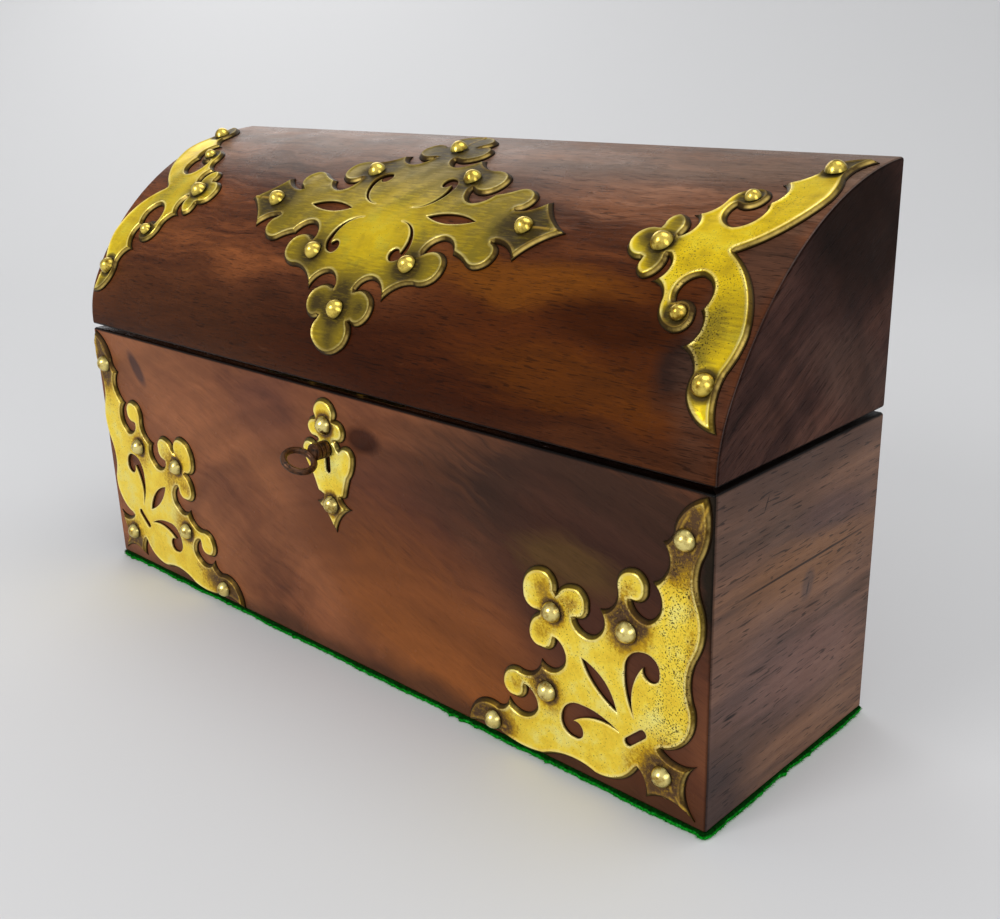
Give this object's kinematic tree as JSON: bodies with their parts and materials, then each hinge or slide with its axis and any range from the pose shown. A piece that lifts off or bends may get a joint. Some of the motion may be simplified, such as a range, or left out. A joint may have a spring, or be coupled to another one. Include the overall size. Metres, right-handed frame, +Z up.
{
  "type": "dome top box",
  "caption": "Domed walnut letter box with pierced brass mounts and studs, a hinged lid, a link lock with its key and a letter rack inside.",
  "frame": {"origin": "middle of the baize's underside, on which the box stands", "axes": "+X along the box's length, +Y from the keyhole side to the hinges, +Z up"},
  "size_m": [0.2408, 0.0861, 0.1397],
  "materials": {
    "walnut_boards": "french polished",
    "walnut_ends": "worn polish",
    "rack_walnut": "waxed",
    "gilt_brass": "lacquered, worn",
    "stud_brass": "polished",
    "lock_brass": "brushed",
    "brass_screws": "satin",
    "lock_steel": "satin",
    "key_iron": "rubbed, oxidised",
    "green_baize": "napped wool"
  },
  "bodies": {
    "base": {"back_divider": "rack_walnut", "base_back_board": "walnut_boards", "base_bottom_board": "walnut_boards", "base_front_board": "walnut_boards", "base_hinge_screws": "brass_screws", "base_left_corner_mount": "gilt_brass", "base_left_end": "walnut_ends", "base_left_mount_studs": "stud_brass", "base_right_corner_mount": "gilt_brass", "base_right_end": "walnut_ends", "base_right_mount_studs": "stud_brass", "escutcheon_plate": "gilt_brass", "escutcheon_studs": "stud_brass", "front_divider": "rack_walnut", "hinge_left_base_leaf": "lock_brass", "hinge_left_pin": "lock_steel", "hinge_right_base_leaf": "lock_brass", "hinge_right_pin": "lock_steel", "lock_back_plate": "lock_brass", "lock_back_screws": "brass_screws", "lock_case": "lock_brass", "lock_drill_pin": "lock_steel", "lock_spring": "lock_steel", "lock_top_plate": "lock_brass", "lock_top_screws": "brass_screws", "middle_divider": "rack_walnut", "rack_left_cheek": "rack_walnut", "rack_right_cheek": "rack_walnut", "underside_baize": "green_baize"},
    "lid": {"hinge_left_lid_leaf": "lock_brass", "hinge_right_lid_leaf": "lock_brass", "lid_back_board": "walnut_boards", "lid_centre_mount": "gilt_brass", "lid_centre_mount_studs": "stud_brass", "lid_dome_board": "walnut_boards", "lid_hinge_screws": "brass_screws", "lid_left_end": "walnut_ends", "lid_left_mount": "gilt_brass", "lid_left_mount_studs": "stud_brass", "lid_right_end": "walnut_ends", "lid_right_mount": "gilt_brass", "lid_right_mount_studs": "stud_brass", "link_screws": "brass_screws", "lock_link_plate": "lock_brass"},
    "key": {"key": "key_iron"},
    "bolt": {"lock_bolt": "lock_steel"}
  },
  "joints": [
    {"name": "lid_hinge", "type": "hinge", "parent": "base", "child": "lid", "pos_m": [0, 0.0342, 0.0811], "axis": [-1, 0, 0], "range_deg": [0, 100]},
    {"name": "key_turn", "type": "hinge", "parent": "base", "child": "key", "pos_m": [-0.001, -0.035, 0.0646], "axis": [0, 1, 0], "range_deg": [0, 120]},
    {"name": "bolt_slide", "type": "slide", "parent": "base", "child": "bolt", "axis": [1, 0, 0], "range_m": [0, 0.006]}
  ],
  "couplings": [
    {"joint": "key_turn", "follows": "bolt_slide", "rad_per_m": 349.07}
  ]
}
